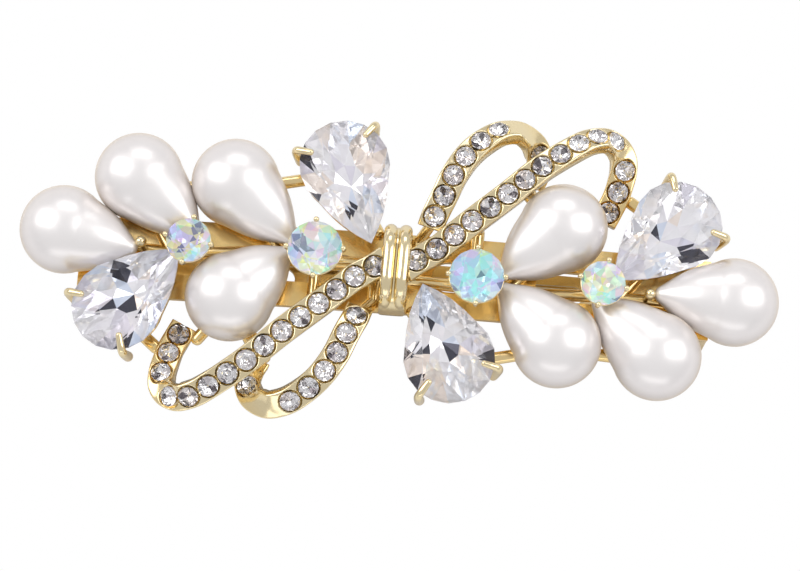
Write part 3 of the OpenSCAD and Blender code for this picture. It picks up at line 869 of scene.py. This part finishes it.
# %% Ribbon routes
OUTER_ROUTE = [     # x, y, height of the top face, outward bank in degrees
    (0.9, -0.6, 14.35, 0), (2.25, 0.5, 14.4, 0), (4.3, 1.85, 14.6, 0), (6.1, 3.5, 14.8, 2),
    (8.0, 5.25, 15.0, 2), (11.7, 8.6, 15.2, 4), (15.35, 12.1, 15.2, 8), (19.1, 15.1, 14.9, 20),
    (20.8, 16.15, 14.5, 28), (22.5, 16.55, 13.9, 34), (23.9, 15.95, 13.2, 32),
    (24.65, 14.75, 12.6, 26), (24.65, 13.3, 12.15, 16), (24.3, 11.8, 11.75, 8),
    (23.85, 10.3, 11.3, 2), (23.25, 8.9, 10.9, 0), (22.65, 7.6, 10.7, 0)]
INNER_ROUTE = [
    (3.5, 4.65, 12.6, 0), (3.9, 5.95, 13.4, 0), (4.8, 8.2, 14.1, 4), (5.7, 10.6, 14.5, 8),
    (7.0, 12.9, 14.7, 12), (8.65, 14.8, 14.6, 20), (10.6, 16.3, 14.2, 34),
    (12.8, 16.75, 13.4, 42), (14.6, 15.7, 12.6, 36), (15.2, 13.9, 11.9, 16),
    (14.9, 12.3, 11.3, 0), (14.3, 10.9, 10.9, 0)]
OUTER_STONES = (1.75, 12, 3, 1.2)   # first stone, stones before the turn, after it, gap there
INNER_STONES = (1.5, 6, 1, 4.4)
PITCH = 2.5
PAVE_CUT = {"edge": 0.1, "crown": 0.36, "pavilion": 0.78, "table": 0.55, "mains": 6}
PAVE_SINK = -0.02       # height of a girdle over the ribbon's top
PAVE_SPIN = 0.7         # turn from one stone to the next, radians
PAVE_SEED = {"right": 80, "left": 79}
STONE_R = 1.12
PIT_R = 1.24
PIT_DEPTH = 0.75
HALF_WIDTH = 1.5
RIBBON_DEPTH = 1.5
CORNER_R = 0.22


def lay_ribbon(route, step=0.1):
    """Even stations along a route: places, side, normal and tangent directions, and distance.

    The side is level and to the left of the route, tipped down by the bank angle, and the normal
    is across side and tangent.
    """
    dense = curve_through(np.array(route, float), 1200)
    dense[:, 2] -= arch_drop(dense[:, 0])
    reach = np.concatenate([[0], np.cumsum(np.linalg.norm(np.diff(dense[:, :3], axis=0), axis=1))])
    s = np.linspace(0, reach[-1], int(reach[-1] / step))
    place = np.column_stack([np.interp(s, reach, dense[:, c]) for c in range(3)])
    bank = np.radians(np.interp(s, reach, dense[:, 3]))[:, None]
    tangent = np.gradient(place, axis=0)
    tangent /= np.linalg.norm(tangent, axis=1)[:, None]
    left = np.cross([0, 0, 1.0], tangent)
    left /= np.linalg.norm(left, axis=1)[:, None]
    over = np.cross(tangent, left)
    side = left * np.cos(bank) - over * np.sin(bank)
    return place, side, np.cross(tangent, side), tangent, s


def stone_steps(first, before, after, gap):
    """Distances of the stones along a ribbon: PITCH apart, with an extra gap at the turn."""
    k = np.arange(before + after)
    return first + PITCH * k + gap * (k >= before)


def ribbon_part(laid, seats):
    """Bar whose section is carried along the stations, its top sunk in a pit at each seat.

    Pit depth fades over a narrow ring where the distance to the nearest seat passes PIT_R.
    """
    place, side, normal, tangent, s = laid
    corner = CORNER_R
    arc = np.linspace(0, math.pi / 2, 5)
    top = np.linspace(HALF_WIDTH - corner, -HALF_WIDTH + corner, 31)
    across = np.concatenate([[HALF_WIDTH - 0.25, HALF_WIDTH - 0.1],
                             HALF_WIDTH - corner + corner * np.cos(arc)[:-1], top,
                             -HALF_WIDTH + corner - corner * np.sin(arc)[1:],
                             [-HALF_WIDTH + 0.1, -HALF_WIDTH + 0.25]])
    down = np.concatenate([[-RIBBON_DEPTH, -RIBBON_DEPTH + 0.15],
                           -corner + corner * np.sin(arc)[:-1], 0 * top,
                           -corner + corner * np.cos(arc)[1:],
                           [-RIBBON_DEPTH + 0.15, -RIBBON_DEPTH]])
    gap = np.abs(s[:, None] - seats[None]).min(1)
    distance = np.hypot(gap[:, None], across[None])
    sunk = np.clip((PIT_R + 0.06 - distance) / 0.12, 0, 1)
    sunk = sunk * sunk * (3 - 2 * sunk) * (down[None] > -0.1)
    height = down[None] - PIT_DEPTH * sunk
    grid = (place[:, None] + side[:, None] * across[None, :, None]
            + normal[:, None] * height[..., None])
    return closed_grid(grid, "flat", "flat")


def along_ribbon(laid, distance):
    """Place and orthonormal directions of the ribbon at one distance."""
    place, side, normal, tangent, s = laid
    rows = [np.array([np.interp(distance, s, field[:, c]) for c in range(3)])
            for field in (place, side, normal)]
    n = rows[2] / np.linalg.norm(rows[2])
    a = rows[1] - n * (rows[1] @ n)
    a /= np.linalg.norm(a)
    return rows[0], np.column_stack([np.cross(n, -a), a, n])


# %% Ribbons and their pave stones
def pave_stones(laid, seats):
    """Small round stones with their girdles just over the ribbon's top, one at each seat."""
    stones = []
    for k, distance in enumerate(seats):
        stone = stone_part(round_outline(STONE_R), np.zeros(2), PAVE_SINK, **PAVE_CUT)
        spin = PAVE_SPIN * k
        turn = np.array([[math.cos(spin), -math.sin(spin), 0],
                         [math.sin(spin), math.cos(spin), 0], [0, 0, 1]])
        origin, axes3 = along_ribbon(laid, distance)
        stones.append(move_part(stone, axes3 @ turn, origin))
    return stones


for row, (route, rule) in {"outer": (OUTER_ROUTE, OUTER_STONES),
                           "inner": (INNER_ROUTE, INNER_STONES)}.items():
    laid = lay_ribbon(route)
    seats = stone_steps(*rule)
    bar = ribbon_part(laid, seats)
    stones = pave_stones(laid, seats)
    for half, move in {"right": lambda part: part, "left": turned_half}.items():
        add_piece(f"bow_{row}_{half}", [move(bar)], [gold],
                  f"bow_ribbon_{row}_{half}")
        add_stones(f"pave_{row}_{half}_stones", [move(stone) for stone in stones],
                   [pave_crown, pave_back], f"pave_{row}_{half}",
                   PAVE_SEED[half])
    print(row, "ribbon:", round(laid[4][-1], 1), "mm long,", len(seats), "stones")

# %% [markdown]
# ## Knot
# The bow is tied by two tubes that bend over from front to back on a broad flat band, whose
# lower end shows in front. Tubes and band are swept along one kind of path, so they nest.

# %% Knot
KNOT_TUBE_R = 0.74
KNOT_TUBE_X = 0.82      # how far each tube lies from the middle


def knot_path(front, back, top, foot, x):
    """Path over the knot: a low crown between two tight corners, from front foot to back foot."""
    points = [(-front, foot), (-front + 0.1, top - 2.0), (-front + 0.9, top - 0.75),
              (-front * 0.5, top - 0.12), (0, top), (back * 0.5, top - 0.12),
              (back - 0.9, top - 0.75), (back - 0.1, top - 2.0), (back, foot)]
    return curve_through([(x + 0.02 * y, y, z) for y, z in points], 60)


def band_part(path, half_width, thick):
    """Flat band: a rounded rectangle carried along the knot path."""
    angle = np.linspace(0, 2 * math.pi, 28, endpoint=False)
    shape = np.stack([np.sign(np.cos(angle)) * np.abs(np.cos(angle)) ** 0.35 * half_width,
                      np.sign(np.sin(angle)) * np.abs(np.sin(angle)) ** 0.6 * thick], axis=1)
    tangent = np.gradient(path, axis=0)
    tangent /= np.linalg.norm(tangent, axis=1)[:, None]
    side = np.broadcast_to([1.0, 0, 0], path.shape)
    over = np.cross(side, tangent)
    grid = path[:, None] + side[:, None] * shape[:, 0, None] + over[:, None] * shape[:, 1, None]
    return closed_grid(grid, "flat", "flat")


for half, x in {"right": KNOT_TUBE_X, "left": -KNOT_TUBE_X}.items():
    path = knot_path(front=4.0, back=4.0, top=15.35, foot=11.9, x=x)
    add_piece(f"knot_tube_{half}", [tube_part(path, KNOT_TUBE_R, 28)], [gold],
              f"knot_wrap_{half}")
path = knot_path(front=4.45, back=4.2, top=14.4, foot=9.9, x=0.0)
add_piece("knot_band_strip", [band_part(path, half_width=1.5, thick=0.42)], [gold],
          "knot_band")
print("knot: two tubes and a band")

# %% [markdown]
# ## Cast frame and seed beads
# Under the stones runs a web of cast rods. They show between the drops as deep orange gold, so
# they get true round rods with soft ends. Each half has its own rods, because its stones lie a
# little differently.

# %% Frame rods
ROD_Z = 10.3
ROD_R = 0.7
POST_R = 0.6
BEAD_AT = (28.1, -0.85)
BEAD_R = 0.63
BEAD_Z = 13.6


def arched_point(flat, z):
    """Point (x, y) at height z above the arch."""
    return np.array([flat[0], flat[1], z - arch_drop(flat[0])])


def rod_between(a, b, radius):
    """Round rod from point a to point b with soft ends."""
    steps = np.linspace(0, 1, 8)[:, None]
    return rounded_tube(a + (b - a) * steps, radius, 16)


def spray_places(side):
    """Middles of the pieces of one half, the left half turned onto the right one."""
    turn = 1 if side == "right" else -1
    first_pearl, first_clear, first_round = (5, 3, 3) if side == "right" else (4, 2, 2)
    pearls = [turn * PEARLS[f"pearl_{first_pearl + turn * k}"][0] for k in range(3)]
    clears = [turn * CLEARS[f"clear_drop_{first_clear + turn * k}"][0] for k in range(2)]
    rounds = [turn * ROUNDS[f"aurora_stone_{first_round + turn * k}"] for k in range(2)]
    return pearls, clears, rounds


def frame_rods(pearls, clears, rounds):
    """Rods of one half: the spine, the links between the cups and the ribbon posts."""
    spine = [(1.2, -0.8), rounds[0], (15.2, -1.3), rounds[1], BEAD_AT, (36.0, -1.2)]
    links = [((12.5, -1.1), pearls[0]), ((12.5, -1.1), pearls[1]), ((25, -0.8), pearls[2]),
             ((25, -0.8), clears[1]), (clears[0], pearls[1]), (pearls[1], pearls[2]),
             (clears[0], (2.2, -4.4)), (pearls[0], (13.6, 10.6)), (pearls[0], (21.15, 9.0)),
             ((25.6, 10.2), clears[1]), ((2.2, -0.8), (2.2, 3.4)), (rounds[0], (8.9, 5.2)),
             (pearls[0], (14.9, 9.5))]
    links += list(zip(spine[:-1], spine[1:]))
    rods = [rod_between(arched_point(a, ROD_Z), arched_point(b, ROD_Z), ROD_R)
            for a, b in links]
    posts = [((8.9, 5.2), (8.3, 5.6), 13.4), ((14.9, 9.5), (13.6, 10.3), 13.5),
             ((2.2, 3.4), (3.6, 5.3), 11.9)]
    rods += [rod_between(arched_point(a, ROD_Z), arched_point(b, z), POST_R) for a, b, z in posts]
    return rods


bead = turned_part([(1e-4, ROD_Z), (0.35, ROD_Z), (0.35, BEAD_Z - 0.55)]
                   + [(BEAD_R * math.sin(a), BEAD_Z - BEAD_R * math.cos(a))
                      for a in np.linspace(0.6, math.pi, 16)], 24)
bead = seated(bead, BEAD_AT)
for half, move in {"right": lambda part: part, "left": turned_half}.items():
    rods = frame_rods(*spray_places(half))
    add_piece(f"spray_rods_{half}", [move(rod) for rod in rods], [gold],
              f"spray_frame_{half}")
    add_piece(f"seed_bead_{half}_ball", [move(bead)], [gold], f"seed_bead_{half}")
print("rods a side:", len(rods))

# %% [markdown]
# ## Clip metal
# The bar, arm, spring and latch keep their CAD solids, which already have the true form. They
# get the same plate with a slightly duller, brushed look.

# %% Finish the clip
CLIP_NODES = ["base_bar", "hinge_pin", "anchor_pin", "latch_bracket", "latch_rivets",
              "swing_arm", "tension_bar", "latch_wing_front", "latch_wing_back"]
for node in CLIP_NODES:
    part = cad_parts[node]
    part.data.materials.clear()
    part.data.materials.append(clip_gold)
print("clip nodes kept:", len(CLIP_NODES))

# %% [markdown]
# ## Floor
# The barrette lies on a pale sheet. The sheet is grey to the light that bounces off it, which
# keeps the undersides soft, and white to the camera, which keeps the ground clean.


# %% Floor
FLOOR_HALF = 2.0        # m


def make_floor_finish():
    """Pale grey floor to every bounce of light, and plain white where it is seen directly."""
    material, tree, shader = new_material("pale_floor")
    shader.inputs["Base Color"].default_value = (0.80, 0.80, 0.80, 1)
    shader.inputs["Roughness"].default_value = 0.9
    glow = tree.nodes.new("ShaderNodeEmission")
    glow.inputs["Color"].default_value = (1, 1, 1, 1)
    path = tree.nodes.new("ShaderNodeLightPath")
    mix = tree.nodes.new("ShaderNodeMixShader")
    tree.links.new(path.outputs["Is Camera Ray"], mix.inputs[0])
    tree.links.new(shader.outputs[0], mix.inputs[1])
    tree.links.new(glow.outputs[0], mix.inputs[2])
    tree.links.new(mix.outputs[0], tree.nodes["Material Output"].inputs["Surface"])
    return material


floor_mesh = bpy.data.meshes.new("floor")
floor_mesh.from_pydata([(x * FLOOR_HALF, y * FLOOR_HALF, 0)
                        for x, y in ((-1, -1), (1, -1), (1, 1), (-1, 1))], [], [(0, 1, 2, 3)])
floor_mesh.materials.append(make_floor_finish())
floor = bpy.data.objects.new("floor", floor_mesh)
bpy.context.scene.collection.objects.link(floor)
